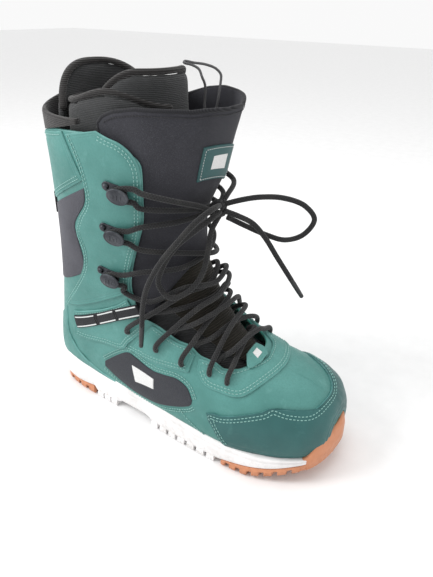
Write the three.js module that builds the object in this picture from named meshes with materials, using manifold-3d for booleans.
// A lace-up snowboard boot for the wearer's right foot, standing on its sole.
// Millimetres. +X points to the toe, +Y to the inner (medial) side, +Z up, sole on z = 0.
import * as THREE from 'three';
import { mergeVertices } from 'three/addons/utils/BufferGeometryUtils.js';
import Module from 'manifold-3d';

const wasm = await Module();
wasm.setup();
const mix = THREE.MathUtils.lerp;

// ---------------------------------------------------------------- driving dimensions
const GAP = 0.35;         // air left between neighbours
const SHELL = 2.4;        // wall of the outer upper
const PANEL_LOW = 0.9;    // underside of a sewn-on panel above the upper
const PANEL_TOP = 2.1;    // and its top side
const CAP_LOW = 1.9;      // underside of a panel that wraps the toe or the heel
const CAP_TOP = 3.0;      // and its top side
const TONGUE_TOP = -4.0;  // outer tongue, below the surface of the upper
const TONGUE_LOW = -6.4;
const LINER_OUT = 9.5;    // outside of the inner boot below the upper, at the sides
const LINER_IN = 14.5;    // inside of the inner boot
const LACE = 4.8;         // lace diameter
// Heights of the lace's centre: on a panel, on the tongue and underneath a flap.
const OVER_PANEL = PANEL_TOP + LACE / 2 + GAP;
const OVER_TONGUE = TONGUE_TOP + LACE / 2 + 1.2;
const UNDER_FLAP = -SHELL - LACE / 2 - 1.4;
// The axis of the ankle flex across the boot, the slope of the split between foot and shaft, and
// the wedge left open in front of the axis.
const FLEX_PIVOT = { x: -35, z: 134 };
const FLEX_SLOPE = THREE.MathUtils.degToRad(24);
const FLEX_RANGE = THREE.MathUtils.degToRad(7.4);

// ---------------------------------------------------------------- colours and materials
const material = (color, roughness, metalness = 0) =>
  new THREE.MeshStandardMaterial({ color, roughness, metalness });
const GREEN = material('#3f8d7c', 0.55);
const DARK_GREEN = material('#2c5c58', 0.5);
const LINING_GREEN = material('#3aa284', 0.8);
const CHARCOAL = material('#33333b', 0.9);
const WEBBING = material('#1f1f22', 0.85);
const KNIT = material('#2b2a28', 0.95);
const LACE_BROWN = material('#35322d', 0.85);
const GUNMETAL = material('#5a5f66', 0.35, 0.8);
const WHITE_FOAM = material('#e9e8e4', 0.6);
const GUM = material('#bf7247', 0.6);

// ---------------------------------------------------------------- closed meshes and solids
function closedGeometry(positions, indices) {
  const geometry = new THREE.BufferGeometry();
  geometry.setAttribute('position', new THREE.Float32BufferAttribute(positions, 3));
  geometry.setIndex(indices);
  return geometry;
}

function signedVolume(positions, indices) {
  const [a, b, c] = [new THREE.Vector3(), new THREE.Vector3(), new THREE.Vector3()];
  let sum = 0;
  for (let i = 0; i < indices.length; i += 3) {
    a.fromArray(positions, indices[i] * 3);
    b.fromArray(positions, indices[i + 1] * 3);
    c.fromArray(positions, indices[i + 2] * 3);
    sum += a.dot(b.cross(c));
  }
  return sum / 6;
}

function toSolid(geometry) {
  const plain = geometry.clone();
  plain.deleteAttribute('normal');
  plain.deleteAttribute('uv');
  const merged = mergeVertices(plain, 1e-4);
  const vertProperties = Float32Array.from(merged.attributes.position.array);
  const triVerts = Uint32Array.from(merged.index.array);
  if (signedVolume(vertProperties, triVerts) < 0) triVerts.reverse();
  return new wasm.Manifold(new wasm.Mesh({ numProp: 3, vertProperties, triVerts }));
}

function toGeometry(solid) {
  const mesh = solid.getMesh();
  return closedGeometry(Array.from(mesh.vertProperties), Array.from(mesh.triVerts));
}

// A slab between an inner and an outer sheet, each a grid over u and v from 0 to 1.
function slab(rows, columns, inner, outer, wrap = false) {
  const positions = [];
  const indices = [];
  const width = wrap ? columns : columns + 1;
  for (const sheet of [outer, inner]) {
    for (let i = 0; i <= rows; i++) {
      for (let j = 0; j < width; j++) positions.push(...sheet(i / rows, j / columns).toArray());
    }
  }
  const layer = (rows + 1) * width;
  const at = (i, j, side) => side * layer + i * width + (j % width);
  const quad = (a, b, c, d) => indices.push(a, b, c, a, c, d);
  for (let i = 0; i < rows; i++) {
    for (let j = 0; j < columns; j++) {
      quad(at(i, j, 0), at(i + 1, j, 0), at(i + 1, j + 1, 0), at(i, j + 1, 0));
      quad(at(i, j, 1), at(i, j + 1, 1), at(i + 1, j + 1, 1), at(i + 1, j, 1));
    }
  }
  for (let j = 0; j < columns; j++) {
    quad(at(0, j, 0), at(0, j + 1, 0), at(0, j + 1, 1), at(0, j, 1));
    quad(at(rows, j + 1, 0), at(rows, j, 0), at(rows, j, 1), at(rows, j + 1, 1));
  }
  if (!wrap) {
    for (let i = 0; i < rows; i++) {
      quad(at(i + 1, 0, 0), at(i, 0, 0), at(i, 0, 1), at(i + 1, 0, 1));
      quad(at(i, columns, 0), at(i + 1, columns, 0), at(i + 1, columns, 1), at(i, columns, 1));
    }
  }
  return toSolid(closedGeometry(positions, indices));
}

// A full body of rings along s, closed by a fan at each end.
function ringBody(stations, columns, ring) {
  const positions = [];
  const indices = [];
  const rows = stations.length;
  for (const s of stations) {
    for (let j = 0; j < columns; j++) positions.push(...ring(s, (j / columns) * 360 - 180).toArray());
  }
  const first = positions.length / 3;
  for (const s of [stations[0], stations[rows - 1]]) {
    positions.push(...ring(s, 0).lerp(ring(s, 180), 0.5).toArray());
  }
  const at = (i, j) => i * columns + (j % columns);
  for (let j = 0; j < columns; j++) {
    for (let i = 0; i < rows - 1; i++) {
      indices.push(at(i, j), at(i + 1, j), at(i + 1, j + 1), at(i, j), at(i + 1, j + 1), at(i, j + 1));
    }
    indices.push(first, at(0, j), at(0, j + 1));
    indices.push(first + 1, at(rows - 1, j + 1), at(rows - 1, j));
  }
  return toSolid(closedGeometry(positions, indices));
}

// ---------------------------------------------------------------- the surface of the upper
// Rings fan out along the boot from the toe tip (s = 0) over the instep to the collar.
// Each ring runs through its top or front point and its bottom or back point. t is the angle
// around it: 0 on top, 180 below, negative on the outer side of the foot.
// s, top x, top z, bottom x, bottom z, half width, widest share, top power, bottom power, centre y
const RINGS = [
  [0, 153, 38, 153, 28, 6, 0.55, 2.0, 2.0, 8],
  [6, 151, 55, 151, 24, 24, 0.6, 2.0, 2.6, 8],
  [16, 143, 70, 143, 21, 39, 0.62, 2.1, 3.2, 7],
  [34, 127, 82, 127, 19, 50, 0.64, 2.2, 3.8, 5],
  [60, 102, 91, 102, 18, 56, 0.64, 2.2, 4.2, 1],
  [92, 72, 102, 70, 17, 58, 0.66, 2.1, 4.6, -3],
  [122, 48, 117, 36, 18, 56, 0.66, 2.0, 5.0, -4],
  [150, 31, 136, 0, 19, 53, 0.64, 2.0, 5.4, -4],
  [178, 19, 158, -46, 21, 50, 0.58, 2.1, 5.8, -3],
  [208, 12, 184, -104, 24, 48, 0.5, 2.2, 6.0, -1],
  [238, 9, 209, -148, 30, 48, 0.46, 2.3, 4.6, 0],
  [268, 10, 232, -153, 78, 50, 0.46, 2.4, 3.0, 0],
  [298, 13, 254, -149, 128, 53, 0.46, 2.4, 2.5, 0],
  [330, 18, 276, -145, 178, 56, 0.48, 2.4, 2.4, 0],
  [362, 24, 297, -144, 229, 58, 0.5, 2.4, 2.4, 0],
  [390, 30, 314, -147, 274, 59, 0.5, 2.4, 2.4, 0],
  [420, 38, 333, -151, 322, 60, 0.5, 2.4, 2.4, 0],
];
const COLLAR = 390;

function slopeAt(k, column) {
  const slope = (i) => (RINGS[i + 1][column] - RINGS[i][column]) / (RINGS[i + 1][0] - RINGS[i][0]);
  if (k === 0) return slope(0);
  if (k === RINGS.length - 1) return slope(k - 1);
  const before = RINGS[k][0] - RINGS[k - 1][0];
  const after = RINGS[k + 1][0] - RINGS[k][0];
  return (slope(k - 1) * after + slope(k) * before) / (before + after);
}

function ringAt(s) {
  let k = 0;
  while (k < RINGS.length - 2 && s >= RINGS[k + 1][0]) k++;
  const h = RINGS[k + 1][0] - RINGS[k][0];
  const u = (s - RINGS[k][0]) / h;
  return RINGS[k].slice(1).map((value, i) => {
    const next = RINGS[k + 1][i + 1];
    return (2 * u ** 3 - 3 * u ** 2 + 1) * value + (u ** 3 - 2 * u ** 2 + u) * h * slopeAt(k, i + 1)
      + (3 * u ** 2 - 2 * u ** 3) * next + (u ** 3 - u ** 2) * h * slopeAt(k + 1, i + 1);
  });
}

// A point of a ring, drawn in from the surface by `ends` at top and bottom and `sides` across.
function ringPoint(s, t, ends = 0, sides = 0) {
  const [topX, topZ, bottomX, bottomZ, half, widest, topPower, bottomPower, centreY] = ringAt(s);
  const angle = THREE.MathUtils.degToRad(t);
  const [c, d] = [Math.cos(angle), Math.sin(angle)];
  const power = c >= 0 ? topPower : bottomPower;
  const radius = (Math.abs(c) ** power + Math.abs(d) ** power) ** (-1 / power);
  const share = c >= 0 ? widest * (1 - c * radius) : widest - (1 - widest) * c * radius;
  const length = Math.hypot(bottomX - topX, bottomZ - topZ);
  const drawn = (ends + share * (length - 2 * ends)) / length;
  return new THREE.Vector3(
    topX + (bottomX - topX) * drawn,
    centreY + d * radius * (half - sides),
    topZ + (bottomZ - topZ) * drawn,
  );
}

// A point of the upper's surface, raised by `lift` along its normal.
function skin(s, t, lift = 0) {
  const point = ringPoint(s, t);
  if (lift === 0) return point;
  return point.addScaledVector(skinNormal(s, t), lift);
}

function skinNormal(s, t) {
  const step = 0.6;
  const along = ringPoint(s + step, t).sub(ringPoint(Math.max(s - step, 0), t));
  const around = ringPoint(s, t + step).sub(ringPoint(s, t - step));
  return around.cross(along).normalize();
}

const lining = (s, t, inset) => ringPoint(s, t, inset * 1.42, inset);

// ---------------------------------------------------------------- panels drawn on that surface
const rail = (...points) => new THREE.SplineCurve(points.map(([s, t]) => new THREE.Vector2(s, t)));

// The matching place on the inner side. The lacing gap of the foot lies a little to the outer side.
const SKEW = 14;
function acrossFrom([s, t]) {
  const alongShare = THREE.MathUtils.clamp((260 - s) / 170, 0, 1);
  const aroundShare = THREE.MathUtils.clamp((110 + t) / 60, 0, 1);
  return [s, -t - SKEW * alongShare * aroundShare];
}
const mirrored = (curve) => rail(...curve.points.map((p) => acrossFrom([p.x, p.y])));

// A panel between two or more rails, which all run the same way over the surface.
function panel(rails, rows, columns, low = PANEL_LOW, top = PANEL_TOP) {
  const at = (lift) => (u, v) => {
    const place = v * (rails.length - 1);
    const k = Math.min(Math.floor(place), rails.length - 2);
    const point = rails[k].getPoint(u).lerp(rails[k + 1].getPoint(u), place - k);
    return skin(point.x, point.y, lift);
  };
  return slab(rows, columns, at(low), at(top));
}

// ---------------------------------------------------------------- joining pieces into the group
const group = new THREE.Group();
function add(name, shape, look) {
  const geometry = shape.isBufferGeometry ? shape : toGeometry(shape);
  const mesh = new THREE.Mesh(geometry, look);
  mesh.name = name;
  group.add(mesh);
}
const SIDES = [['lateral', 1], ['medial', -1]];
const onSide = (curve, side) => (side === 1 ? curve : mirrored(curve));

// ---------------------------------------------------------------- the split at the ankle
// A wide block whose lower face is the split plane, turned by `angle` about the flex axis.
function aboveSplit(clearance, angle) {
  const block = new THREE.BoxGeometry(900, 400, 400);
  block.translate(0, 0, 200 + clearance);
  block.rotateY(-FLEX_SLOPE - angle);
  block.translate(FLEX_PIVOT.x, 0, FLEX_PIVOT.z);
  return toSolid(block);
}
const footBlock = aboveSplit(-GAP, 0);
const shaftBlock = aboveSplit(GAP, 0).intersect(aboveSplit(GAP, FLEX_RANGE));
const footPart = (solid) => solid.subtract(footBlock);
const shaftPart = (solid) => solid.intersect(shaftBlock);

// ---------------------------------------------------------------- sole
const FOOTPRINT = [
  [-159, 0], [-154, -22], [-142, -36.5], [-115, -44], [-80, -47], [-30, -51], [20, -57], [60, -60],
  [100, -59], [130, -47], [150, -28], [158, 8], [150, 36], [130, 54], [100, 59], [60, 55], [20, 45],
  [-30, 39], [-80, 41], [-115, 44], [-142, 36.5], [-154, 22],
];
const SOLE_HEIGHT = 60;
const SOLE_END = 162;       // side views of the sole reach past the footprint at both ends
const HEEL_GUM = 10;        // thickness of the heel's tread
const HEEL_TREAD_END = -97;
const FOREFOOT_TREAD_START = 68;
const BUMPER_REAR = 143;    // the gum rubber turns up over the toe in front of this

function footprint(inset) {
  const centre = 8;
  const corners = FOOTPRINT.map(([x, y]) => {
    const shrink = (value, half) => value * (1 - inset / half);
    return new THREE.Vector3(shrink(x, 157), shrink(y - centre, 55) + centre, 0);
  });
  const loop = new THREE.CatmullRomCurve3(corners, true, 'catmullrom', 0.5).getPoints(44);
  const shape = new THREE.Shape(loop.slice(0, -1).map((p) => new THREE.Vector2(p.x, p.y)));
  const prism = new THREE.ExtrudeGeometry(shape, { depth: SOLE_HEIGHT, bevelEnabled: false });
  return toSolid(prism);
}

// A side view outline in x and z, as thick as the whole boot is wide.
function sideView(points) {
  const shape = new THREE.Shape(points.map(([x, z]) => new THREE.Vector2(x, z)));
  const prism = new THREE.ExtrudeGeometry(shape, { depth: 160, bevelEnabled: false });
  prism.rotateX(Math.PI / 2);
  prism.translate(0, 80, 0);
  return toSolid(prism);
}

// x and z of the sole's upper edge from the toe to the heel, and of the line in the forefoot where
// the gum tread meets the white midsole.
const whiteTop = [[139, 26], [59, 26], [25, 28], [-13, 29], [-61, 32], [-108, 35], [-139, 46], [-SOLE_END, 53]];
const soleTop = [[SOLE_END, 42], [152, 42], [BUMPER_REAR, 28], ...whiteTop];
const gumLine = [[FOREFOOT_TREAD_START, 5.6], [90, 10], [118, 15], [BUMPER_REAR, 21]];
const raised = (points, by) => points.map(([x, z]) => [x, z + by]);
const wholeSole = footprint(0);
const soleRoom = footprint(-GAP).intersect(sideView([[-170, 0], [170, 0], ...raised(soleTop, GAP)]));
const onSole = (solid) => solid.subtract(soleRoom);

// Slots across the tread, each a box from the outer to the inner edge: place and height.
function treadSlots(places, width = 4.6) {
  return places.map(([x, top]) => {
    const slot = new THREE.BoxGeometry(width, 200, 2 * top);
    slot.translate(x, 0, 0);
    return toSolid(slot);
  });
}
const cut = (solid, tools) => tools.reduce((body, tool) => body.subtract(tool), solid);

const SHELL_STATIONS = [0, 3, 8, 16, 28, 44, 66, 90, 115, 140, 165, 190, 212, 232, 250, 270, 300, 345, COLLAR];
const RING_STEPS = 22;
const bootRoom = ringBody(SHELL_STATIONS, RING_STEPS, (s, t) => skin(s, t, GAP));

// The white lugs under the arch and the ball of the foot stand this far off the ground.
const LUG_BOTTOM = 0.5;
const midsoleView = sideView([
  [-SOLE_END, HEEL_GUM + GAP], [HEEL_TREAD_END + GAP, HEEL_GUM + GAP], [HEEL_TREAD_END + 1, LUG_BOTTOM],
  [-64, LUG_BOTTOM], [-60, 10], [-22, 10], [-18, LUG_BOTTOM], [FOREFOOT_TREAD_START - 1, LUG_BOTTOM],
  ...gumLine, [BUMPER_REAR, 28], ...whiteTop,
]);
const lugSlots = treadSlots([-85, -74, -7, 5, 17, 29, 41, 53].map((x) => [x, 5]), 4);
add('midsole', cut(wholeSole.intersect(midsoleView).subtract(bootRoom), lugSlots), WHITE_FOAM);

const heelTread = footprint(1).intersect(sideView([
  [-SOLE_END, 0], [HEEL_TREAD_END, 0], [HEEL_TREAD_END - 1, HEEL_GUM], [-SOLE_END, HEEL_GUM],
]));
add('outsole_heel', cut(heelTread, treadSlots([[-142, 4], [-126, 4], [-110, 4]])), GUM);

const forefootTread = footprint(0.6).intersect(sideView([
  [FOREFOOT_TREAD_START, 0], [94, 0], [118, 6], [BUMPER_REAR, 13], [SOLE_END, 21], ...soleTop.slice(0, 2),
  [BUMPER_REAR + GAP, 28.5], ...raised(gumLine, -GAP).reverse(),
])).subtract(bootRoom);
add('outsole_forefoot', cut(forefootTread, treadSlots([[80, 3], [93, 4.5], [106, 7.5], [119, 10], [132, 14]])), GUM);

// ---------------------------------------------------------------- laces
// A tube through hand-chosen points, one ring of its section at each of them and `between` more.
class Route extends THREE.Curve {
  constructor(points) {
    super();
    this.spline = new THREE.CatmullRomCurve3(points, false, 'centripetal');
  }

  getPoint(u, target) {
    return this.spline.getPoint(u, target);
  }

  getPointAt(u, target) {
    return this.getPoint(u, target);
  }

  getTangentAt(u, target) {
    return this.getTangent(u, target);
  }
}

function cordGeometry(points, between = 0, diameter = LACE, sides = 8) {
  const section = new THREE.Shape();
  section.absarc(0, 0, diameter / 2, 0, Math.PI * 2);
  return new THREE.ExtrudeGeometry(section, {
    steps: (points.length - 1) * (between + 1),
    extrudePath: new Route(points),
    curveSegments: sides / 2,
  });
}
const cord = (...shape) => toSolid(cordGeometry(...shape));

const onBoot = ([s, t, lift]) => skin(s, t, lift);
const opposite = ([s, t, lift]) => [...acrossFrom([s, t]), lift];
// The second half of the lace crosses over the first.
const HALF_LIFT = [0, LACE + 1.4];

// Lace holes on the outer side, toe end first: place along the boot and angle around it, and the
// place along the boot where the lace from each hole crosses the middle line.
const HOLES = [[98, -49], [117, -53], [147, -65], [174, -75], [203, -88]];
const FOOT_CROSSINGS = [104, 126, 145, 159, 173];
const MIDDLE = -7;
const STRAP_EYE = [207, -64, OVER_TONGUE + 1.4];

// From a hole of one side, over the throat and under the other side's flap, to the next hole.
function footCrossing(i, half, fromInner) {
  const near = fromInner ? opposite : (p) => p;
  const far = fromInner ? (p) => p : opposite;
  const [s0, t0] = HOLES[i];
  const crest = FOOT_CROSSINGS[i];
  const above = HALF_LIFT[half];
  const start = [
    [s0, t0 + 3, UNDER_FLAP], [s0, t0, -2.4], [s0, t0, 3], [s0 + 1, t0 + 4, OVER_PANEL + 1.3],
    [mix(s0, crest, 0.3), mix(t0, MIDDLE, 0.36), OVER_PANEL + 0.8],
    [mix(s0, crest, 0.65), mix(t0, MIDDLE, 0.68), OVER_TONGUE + 3 + above],
  ].map(near);
  const middle = [crest, MIDDLE, OVER_TONGUE + 2.4 + above];
  if (i === HOLES.length - 1) {
    return [...start, middle, far([190, -34, OVER_TONGUE + 1.8 + above]), far(STRAP_EYE)];
  }
  const [s1, t1] = HOLES[i + 1];
  return [...start, middle, far([mix(s1, crest, 0.5) - 3, mix(t1, MIDDLE, 0.55), OVER_TONGUE + 3 + above]),
    far([s1 - 5, t1 + 21, -2.4]), far([s1 - 3, t1 + 14, UNDER_FLAP - 0.4])];
}
const footRoutes = [0, 1].map((half) => HOLES
  .flatMap((_, i) => footCrossing(i, half, (i + half) % 2 === 1))
  .map(onBoot));
const firstLaceRoom = cord(footRoutes[0], 0, LACE + 2.5 * GAP);
add('lace_foot_a', cord(footRoutes[0]), LACE_BROWN);
add('lace_foot_b', cord(footRoutes[1]).subtract(firstLaceRoom), LACE_BROWN);

// The room that the ends of the foot's lace sweep through the shaft while the ankle flexes.
const FLEX_STEPS = 4;
const sweptRoom = footRoutes.flatMap((route) => {
  const stretch = route.slice(-4);
  return Array.from({ length: FLEX_STEPS + 1 }, (_, step) => {
    const geometry = cordGeometry(stretch, 0, LACE + 1.6);
    geometry.translate(-FLEX_PIVOT.x, 0, -FLEX_PIVOT.z);
    geometry.rotateY((-FLEX_RANGE * step) / FLEX_STEPS);
    geometry.translate(FLEX_PIVOT.x, 0, FLEX_PIVOT.z);
    return toSolid(geometry);
  });
});

function drill([s, t]) {
  const pin = new THREE.CylinderGeometry(LACE / 2 + 2, LACE / 2 + 2, 9, 8);
  pin.applyQuaternion(new THREE.Quaternion().setFromUnitVectors(new THREE.Vector3(0, 1, 0), skinNormal(s, t)));
  pin.translate(...skin(s, t).toArray());
  return toSolid(pin);
}
const drills = HOLES.flatMap((hole) => [drill(hole), drill(acrossFrom(hole))]);

// ---------------------------------------------------------------- upper: foot and shaft shells
const outerBody = ringBody(SHELL_STATIONS, RING_STEPS, (s, t) => skin(s, t));
const INNER_STATIONS = [9, 16, 28, 44, 66, 90, 115, 140, 165, 190, 212, 232, 250, 270, 300, 345, 396];
const innerBody = ringBody(INNER_STATIONS, RING_STEPS, (s, t) => ringPoint(s, t, SHELL * 1.35, SHELL));

// The lacing gap from the throat by the toes up to the collar: its outer edge, toe end first.
const throatEdge = rail([84, -6], [90, -28], [105, -40], [117, -42], [134, -48], [148, -50], [163, -57],
  [185, -65], [203, -75], [222, -75]);
const cuffEdge = rail([214, -74], [229, -72], [242, -69], [258, -64], [280, -58], [311, -58], [345, -60],
  [368, -70], [381, -85], [398, -92]);
const throatGap = panel([throatEdge, mirrored(throatEdge)], 12, 12, -12, 6)
  .add(panel([cuffEdge, mirrored(cuffEdge)], 12, 12, -12, 6));

const upper = outerBody.subtract(innerBody).subtract(throatGap);
add('upper_foot', cut(footPart(upper), drills), GREEN);
add('upper_shaft', shaftPart(upper), LINING_GREEN);

// ---------------------------------------------------------------- insole board, inner boot, footbed
// A thin plate on the floor of a ring body, from `low` to `high` above the lowest point.
function floorPlate(start, end, low, high, sides) {
  const sheet = (height) => (u, v) => ringPoint(start + u * (end - start), 144 + v * 72, height, sides);
  return slab(8, 4, sheet(low), sheet(high));
}
add('insole_board', footPart(floorPlate(30, 214, 4.6, 6.6, 8)), WEBBING);

const LINER_STEPS = 16;
const linerShoe = ringBody([24, 34, 50, 75, 110, 145, 180, 210, 240, 270, 300], LINER_STEPS,
  (s, t) => lining(s, t, LINER_OUT));
const linerHollow = ringBody([38, 50, 75, 110, 145, 180, 210, 240, 270, 310], LINER_STEPS,
  (s, t) => lining(s, t, LINER_IN));
add('liner_shoe', footPart(linerShoe.subtract(linerHollow)), KNIT);
add('footbed', footPart(floorPlate(48, 200, LINER_IN * 1.42 + 3.6, LINER_IN * 1.42 + 6.6, LINER_IN + 3)), CHARCOAL);

// The inner boot's cuff is an upright sleeve, angle 0 in front, positive to the inner side.
function sleevePoint(angle, z, inset) {
  const high = (z - 120) / 200;
  const turn = THREE.MathUtils.degToRad(angle);
  const [c, d] = [Math.cos(turn), Math.sin(turn)];
  const radius = (Math.abs(c) ** 2.3 + Math.abs(d) ** 2.3) ** (-1 / 2.3);
  const lean = mix(-70, -68, high);
  return new THREE.Vector3(
    lean + (mix(65, 53, high) - inset) * c * radius,
    (mix(41, 45, high) - inset) * d * radius,
    z,
  );
}
function sleeve(from, to, columns, bottom, rim, outside, inside) {
  const sheet = (inset) => (u, v) => {
    const angle = mix(from, to, v);
    return sleevePoint(angle, mix(bottom, rim(angle), u), inset);
  };
  return slab(5, columns, sheet(inside), sheet(outside));
}
const folded = (angle) => Math.abs(angle > 180 ? angle - 360 : angle);
const cuffRim = (angle) => 305 + 13 * Math.exp(-(((folded(angle) - 75) / 38) ** 2));
const flapRim = (angle) => 300 + 33 * (1 - (Math.abs(angle - 160) / 62) ** 2.8);
const tongueRim = (angle) => 332 - 16 * THREE.MathUtils.clamp((Math.abs(angle + 12) - 33) / 38, 0, 1) ** 2;
add('liner_cuff', shaftPart(sleeve(38, 352, 20, 60, cuffRim, 0, 6.5)), KNIT);
add('liner_back_flap', sleeve(104, 226, 10, 215, flapRim, -7.2, -0.5), KNIT);
add('liner_tongue', shaftPart(sleeve(-84, 58, 10, 140, tongueRim, 7.2, 14)), KNIT);

// ---------------------------------------------------------------- outer tongue, badge and toe tag
const tongueEdge = rail([92, -18], [104, -24], [117, -28], [134, -33], [148, -38], [163, -44], [185, -52],
  [203, -60], [230, -62]);
const tongueMiddle = rail([85, -7], [95, -7], [115, -6], [132, -5], [148, -4], [164, -3], [184, -2], [204, -1],
  [230, 0]);
const onTongue = [TONGUE_LOW, TONGUE_TOP];
const footTongue = panel([tongueEdge, tongueMiddle, mirrored(tongueEdge)], 10, 8, ...onTongue);
add('tongue_foot', footPart(footTongue), CHARCOAL);
const cuffTongue = [
  [[150, -60], [226, -66], [250, -76], [300, -80], [350, -84], [399, -90]],
  [[150, -30], [222, -33], [250, -38], [300, -40], [350, -42], [391, -46]],
  [[150, 0], [218, 0], [250, 0], [300, 0], [344, 0], [379, 0]],
  [[150, 30], [222, 33], [250, 38], [300, 40], [350, 42], [400, 46]],
  [[150, 60], [226, 66], [250, 76], [300, 80], [350, 84], [400, 90]],
].map((points) => rail(...points));
add('tongue_shaft', cut(shaftPart(panel(cuffTongue, 12, 16, ...onTongue)), sweptRoom), CHARCOAL);
add('tongue_badge', panel([rail([295, -19], [331, -15]), rail([290, 28], [335, 28])], 4, 5,
  TONGUE_TOP + GAP, TONGUE_TOP + 1.6), DARK_GREEN);
add('toe_tag', panel([rail([79.5, -18], [86, -29], [95, -19]), rail([79.5, -6], [86, -1], [95, -3])], 4, 4,
  PANEL_TOP + 0.5, PANEL_TOP + 2.3), GREEN);

// ---------------------------------------------------------------- panels sewn onto the foot
const toeCapRear = rail([88, -129], [94, -119], [103, -96], [109, -83], [91, -76], [61, -59], [54, -51],
  [39, -50], [24, -42], [18, -17], [19, 8], [32, 25], [49, 33], [60, 47], [74, 62], [91, 74], [109, 83],
  [103, 96], [94, 119], [88, 129]);
const toeCapFront = rail([4, -129], [4, -65], [4, 0], [4, 65], [4, 129]);
const toeCapMiddle = rail([20, -129], [22, -65], [11, 0], [22, 65], [20, 129]);
add('toe_cap', onSole(panel([toeCapRear, toeCapMiddle, toeCapFront], 24, 8, CAP_LOW, CAP_TOP)), DARK_GREEN);

const throatInner = rail([134, -50.5], [117, -44], [105, -42.5], [91, -31], [79, -14], [79, 0], [86, 17],
  [105, 29], [117, 31], [134, 40]);
const throatOuter = rail([131, -58], [119, -63], [103, -60], [79, -51], [63, -20], [63, 8], [79, 38],
  [103, 47], [119, 51], [131, 47]);
add('throat_overlay', cut(panel([throatInner, throatOuter], 20, 2, PANEL_LOW + 0.3), drills), GREEN);

const counterEdge = rail([266, -128], [249, -125], [231, -126], [211, -135], [188, -137]);
const backOf = (curve) => rail(...curve.points.map((p) => [p.x, -180]));
const aroundBack = (curve) => rail(...curve.points.map((p) => [p.x, -360 - p.y]));
const wrapBack = (edge) => [edge, backOf(edge), aroundBack(edge)];
add('heel_counter', onSole(footPart(panel(wrapBack(counterEdge), 7, 16, CAP_LOW, CAP_TOP))), DARK_GREEN);

const ankleTop = rail([226, -77], [230, -86], [237, -95], [247, -106], [258, -119]);
const ankleBottom = rail([193, -77], [197, -92], [199, -103], [214, -111], [242, -121]);
const midInner = rail([190, -69], [185, -66.5], [163, -58.5], [148, -52], [139, -51]);
const midOuter = rail([194, -98], [185, -92], [171, -84], [152, -73], [138, -66]);
const sideTop = rail([204, -121], [195, -102.5], [187, -98], [174, -93.5], [160, -85], [147, -78], [134, -77], [126, -83]);
const sideBottom = rail([202, -124], [186, -127], [171, -128], [155, -122], [137, -104], [126, -87]);
const strapTop = rail([214, -72], [232, -92], [254, -118]);
const strapBottom = rail([208, -74], [225, -98], [243, -117]);
for (const [name, side] of SIDES) {
  const pick = (...curves) => curves.map((curve) => onSide(curve, side));
  add(`${name}_ankle_panel`, cut(footPart(panel(pick(ankleTop, ankleBottom), 7, 4)), drills), GREEN);
  add(`${name}_eyestay`, cut(panel(pick(midInner, midOuter), 7, 3), drills), GREEN);
  add(`${name}_side_panel`, panel(pick(sideTop, sideBottom), 9, 4), CHARCOAL);
  add(`${name}_ankle_strap`, footPart(panel(pick(strapTop, strapBottom), 8, 2, PANEL_TOP + GAP, PANEL_TOP + 2.2)),
    WEBBING);
}

// ---------------------------------------------------------------- panels sewn onto the shaft
const cuffFront = rail([381, -86], [376, -80], [368, -73], [358, -67], [345, -63], [330, -60.5], [293, -60.5],
  [280, -60.5], [267, -62.5], [258, -66.5], [242, -71.5], [229, -76]);
const cuffRear = rail([385, -110], [374, -105.5], [355, -100.5], [335, -99.5], [326, -107], [315, -111],
  [298, -107], [284, -107.5], [276, -116], [270, -130]);
const backEdge = rail([345, -104], [335, -102.5], [326, -110], [315, -114], [298, -110], [287, -111]);
const collarPanelTop = rail([387, -113], [388, -146], [388, -180], [388, -214], [387, -247]);
const collarPanelBottom = rail([351, -104], [348, -142], [348, -180], [348, -218], [351, -256]);
for (const [name, side] of SIDES) {
  const pick = (...curves) => curves.map((curve) => onSide(curve, side));
  add(`${name}_cuff_panel`, shaftPart(panel(pick(cuffFront, cuffRear), 11, 6)), GREEN);
}
add('rear_collar_panel', panel([collarPanelTop, collarPanelBottom], 12, 3, CAP_LOW, CAP_TOP), GREEN);
add('back_panel', panel(wrapBack(backEdge), 6, 12, CAP_LOW, CAP_TOP), CHARCOAL);
const bandBottom = rail([391, -100], [391, -140], [391, -180], [391, -220], [391, -260]);
const bandTop = rail([393, -100], [400, -140], [406, -180], [400, -220], [393, -260]);
add('collar_binding', panel([bandBottom, bandTop], 18, 2, -3.4, 1.4), KNIT);
add('rear_tab', panel([rail([338, -148], [352, -147]), rail([337, -160], [352, -159])], 2, 2,
  CAP_TOP + GAP, CAP_TOP + 1.8), WEBBING);

// ---------------------------------------------------------------- lace hooks
// Cap centres on the outer side, lowest first, and the hook's sizes.
const HOOKS = [[255, -81.5], [290, -76], [326, -71.6]];
const CAP = { long: 10, short: 7, thick: 2.4, lean: -0.15 };
const CAP_RISE = LACE + 1.3;
const RIVET = { x: -12.4, y: 4.7, radius: 3 };
const PLATE = { thick: 1.2, front: 5, rear: 3.6 };

function placed(geometry, s, t, lift) {
  const normal = skinNormal(s, t);
  const up = new THREE.Vector3(0, 0, 1).addScaledVector(normal, -normal.z).normalize();
  const right = up.clone().cross(normal);
  geometry.applyMatrix4(new THREE.Matrix4().makeBasis(right, up, normal).setPosition(skin(s, t, lift)));
  return toSolid(geometry);
}

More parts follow.
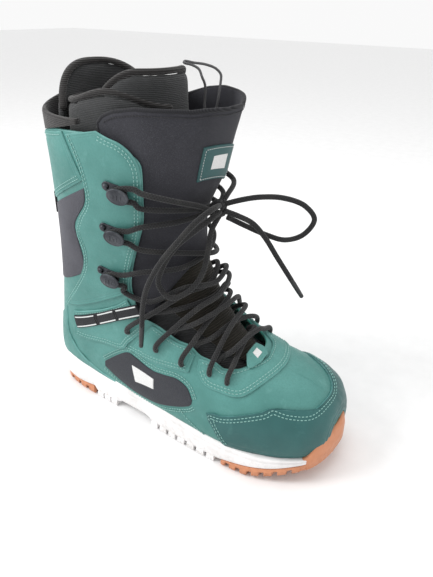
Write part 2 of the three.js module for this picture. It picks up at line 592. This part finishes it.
function lacehook(s, t, side) {
  const [rivetX, rivetY] = [RIVET.x * side, RIVET.y];
  const axis = Math.atan2(-rivetY, -rivetX);
  const plateShape = new THREE.Shape();
  plateShape.absarc(0, 0, PLATE.front, axis - Math.PI / 2, axis + Math.PI / 2, false);
  plateShape.absarc(rivetX, rivetY, PLATE.rear, axis + Math.PI / 2, axis + Math.PI * 1.5, false);
  const plate = new THREE.ExtrudeGeometry(plateShape, { depth: PLATE.thick, bevelEnabled: false, curveSegments: 4 });
  const base = PANEL_TOP + GAP;
  const rivet = new THREE.SphereGeometry(RIVET.radius, 7, 5);
  rivet.translate(rivetX, rivetY, PLATE.thick);
  const flat = new THREE.BoxGeometry(20, 20, 20);
  flat.translate(rivetX, rivetY, 10.4);
  const post = new THREE.CylinderGeometry(1.6, 1.6, CAP_RISE + 1, 6);
  post.rotateX(Math.PI / 2);
  post.translate(0, 0, PLATE.thick + CAP_RISE / 2);
  const capShape = new THREE.Shape();
  capShape.absellipse(side, 0, CAP.long, CAP.short, 0, Math.PI * 2, false, CAP.lean * side);
  const cap = new THREE.ExtrudeGeometry(capShape, { depth: CAP.thick, bevelEnabled: false, curveSegments: 7 });
  cap.translate(0, 0, PLATE.thick + CAP_RISE);
  const dome = placed(rivet, s, t, base).intersect(placed(flat, s, t, base));
  return [plate, post, cap].reduce((body, piece) => body.add(placed(piece, s, t, base)), dome);
}
for (const [name, side] of SIDES) {
  HOOKS.forEach(([s, t], i) => add(`${name}_hook_${i + 1}`, lacehook(s, t * side, side), GUNMETAL));
}

// ---------------------------------------------------------------- laces of the shaft, knot and bow
const KNOT = new THREE.Vector3(23, 1, 222);
function knotSolid(grow) {
  const ball = new THREE.SphereGeometry(1, 12, 8);
  ball.scale(6.5 + grow, 8 + grow, 7.5 + grow);
  ball.translate(KNOT.x, KNOT.y, KNOT.z);
  return toSolid(ball);
}
const knotRoom = knotSolid(GAP);
add('lace_knot', knotSolid(0), LACE_BROWN);

// The place along the boot where the surface stands at height z.
function placeAtHeight(z, t) {
  let [low, high] = [150, 420];
  while (high - low > 0.05) {
    const s = (low + high) / 2;
    if (ringPoint(s, t).z < z) low = s;
    else high = s;
  }
  return low;
}
const atHeight = ([z, t, lift]) => skin(placeAtHeight(z, t), t, lift);

const OVER_PLATE = OVER_PANEL + PLATE.thick + 0.5;

// Round the back of a hook, from below its cap to above it: height, angle and lift.
const hookHeight = ([s, t]) => ringPoint(s, t).z;
const roundHook = (z, t) => [
  [z - 6, t + 9, OVER_PANEL + 1], [z - 4.8, t, OVER_PLATE], [z, t - 5.4, OVER_PLATE], [z + 4.8, t, OVER_PLATE],
  [z + 6, t + 9, OVER_PANEL + 1],
];
function shaftLace(half) {
  const sideOf = (i) => ((i + half) % 2 === 0 ? (p) => p : ([z, t, lift]) => [z, -t, lift]);
  const points = [[146, -75, OVER_PANEL + 0.3]].map(sideOf(0));
  HOOKS.forEach((hook, i) => {
    const z = hookHeight(hook);
    points.push(...roundHook(z, hook[1]).map(sideOf(i)));
    if (i === HOOKS.length - 1) return;
    const rise = hookHeight(HOOKS[i + 1]) - z;
    const strand = (share, t, lift) => [z + 6 + share * (rise - 12), t, lift];
    points.push(...[strand(0.15, -60, 5.6), strand(0.3, -32, 2.6)].map(sideOf(i)));
    points.push(strand(0.5, 0, OVER_TONGUE + 1.2 + HALF_LIFT[half]));
    points.push(...[strand(0.7, -32, 2.6), strand(0.85, -60, 5.6)].map(sideOf(i + 1)));
  });
  const knotEnd = [[244, -58, 7], [238, -38, 7], [230, -19, 8], [222, -5, 10]];
  return [...points, ...knotEnd.map(sideOf(HOOKS.length - 1))];
}
for (const [half, letter] of ['a', 'b'].entries()) {
  const strand = cord(shaftLace(half).map(atHeight)).subtract(knotRoom);
  add(`lace_shaft_${letter}`, cut(shaftPart(strand), sweptRoom), LACE_BROWN);
}

const path = (...points) => points.map((p) => new THREE.Vector3(...p));
add('bow_loop_lateral', cord(path([27, -3, 221], [27, -17, 219], [20, -32, 211], [6, -39, 196], [-3, -46, 177],
  [-5, -49, 162], [6, -48, 152], [17, -39, 156], [24, -26, 169], [25, -17, 190], [25, -12, 207], [26, -2, 217]))
  .subtract(knotRoom), LACE_BROWN);
add('bow_loop_medial', cord(path([27, 5, 226], [40, 14, 230], [52, 23, 232], [68, 35, 231], [84, 46, 224],
  [92, 52, 211], [85, 47, 197], [72, 38, 192], [57, 28, 197], [42, 18, 205], [29, 7, 214]))
  .subtract(knotRoom), LACE_BROWN);
const lateralEnd = path([27, -4, 227], [30, -19, 229], [25, -37, 222], [15, -47, 207], [1, -54, 186],
  [-10, -59, 162], [-14, -61, 142], [-15, -62, 123]);
const medialEnd = path([30, 0, 222], [41, 5, 218], [51, 13, 211], [60, 20, 198], [70, 28, 178], [82, 37, 155]);
add('lace_end_lateral', cord(lateralEnd).subtract(knotRoom), LACE_BROWN);
add('lace_end_medial', cord(medialEnd).subtract(knotRoom), LACE_BROWN);

// A hard tip beyond the end of a lace, `length` long in the direction of its last stretch.
function aglet(route, length) {
  const [before, end] = route.slice(-2);
  const direction = end.clone().sub(before).normalize();
  const pin = new THREE.CylinderGeometry(1.9, 2.3, length, 10);
  pin.applyQuaternion(new THREE.Quaternion().setFromUnitVectors(new THREE.Vector3(0, 1, 0), direction));
  pin.translate(...end.clone().addScaledVector(direction, length / 2 + GAP).toArray());
  return toSolid(pin);
}
add('aglet_lateral', aglet(lateralEnd, 22), WEBBING);
add('aglet_medial', aglet(medialEnd, 22), WEBBING);

// The inner boot's thin tightening cord, looped over the top of its tongue and down in front of it.
const pullCord = path([-11, 31, 292], [-12, 33, 304], [-12, 33, 316], [-14, 31.3, 322.2], [-18, 32.5, 328],
  [-24, 31, 331], [-30, 27.9, 332.5], [-31, 31, 333.5], [-25, 34.5, 332.5], [-14.6, 38, 331.5],
  [-6.9, 42, 328.5], [-2.8, 43.5, 324], [-2, 42, 318], [-1.5, 38, 305.6], [-3, 35.5, 292]);
add('liner_pull_cord', cord(pullCord, 1, 2.2, 6), KNIT);

export default group;
